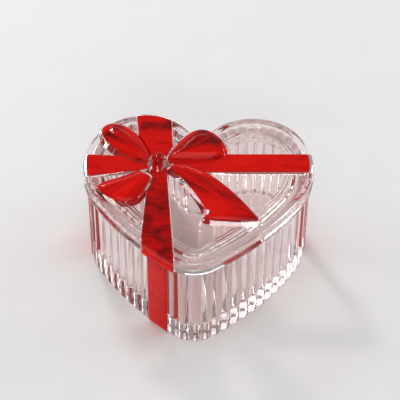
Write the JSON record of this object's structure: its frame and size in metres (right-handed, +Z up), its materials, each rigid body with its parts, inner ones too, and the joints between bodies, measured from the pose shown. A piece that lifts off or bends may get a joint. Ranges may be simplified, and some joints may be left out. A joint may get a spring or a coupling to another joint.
{
  "type": "heart-shaped candy jar",
  "caption": "Heart-shaped clear pressed-glass candy jar with a reeded wall and a lift-off lid that carries a ruby-coated ribbon and bow in relief.",
  "frame": {"origin": "on the table, under the middle of the jar's outline", "axes": "+Z up through the lid, -Y toward the tip of the heart, +X toward the right lobe seen from the tip"},
  "size_m": [0.1254, 0.1185, 0.0662],
  "materials": {
    "clear_glass": "fire-polished clear pressed crystal",
    "ruby_coat": "glossy fired-on ruby stain"
  },
  "bodies": {
    "jar": {"jar_bowl": "clear_glass", "jar_panel_right": "ruby_coat", "jar_panel_back": "ruby_coat", "jar_panel_left": "ruby_coat", "jar_panel_front": "ruby_coat"},
    "lid": {"lid": "clear_glass", "ribbon_right": "ruby_coat", "ribbon_back": "ruby_coat", "ribbon_left": "ruby_coat", "ribbon_front": "ruby_coat", "bow_loop_left": "ruby_coat", "bow_loop_right": "ruby_coat", "bow_tail_left": "ruby_coat", "bow_tail_right": "ruby_coat", "bow_knot": "ruby_coat"}
  },
  "joints": [
    {"name": "lid_lift", "type": "slide", "parent": "jar", "child": "lid", "axis": [0, 0, 1], "range_m": [0, 0.06]}
  ]
}
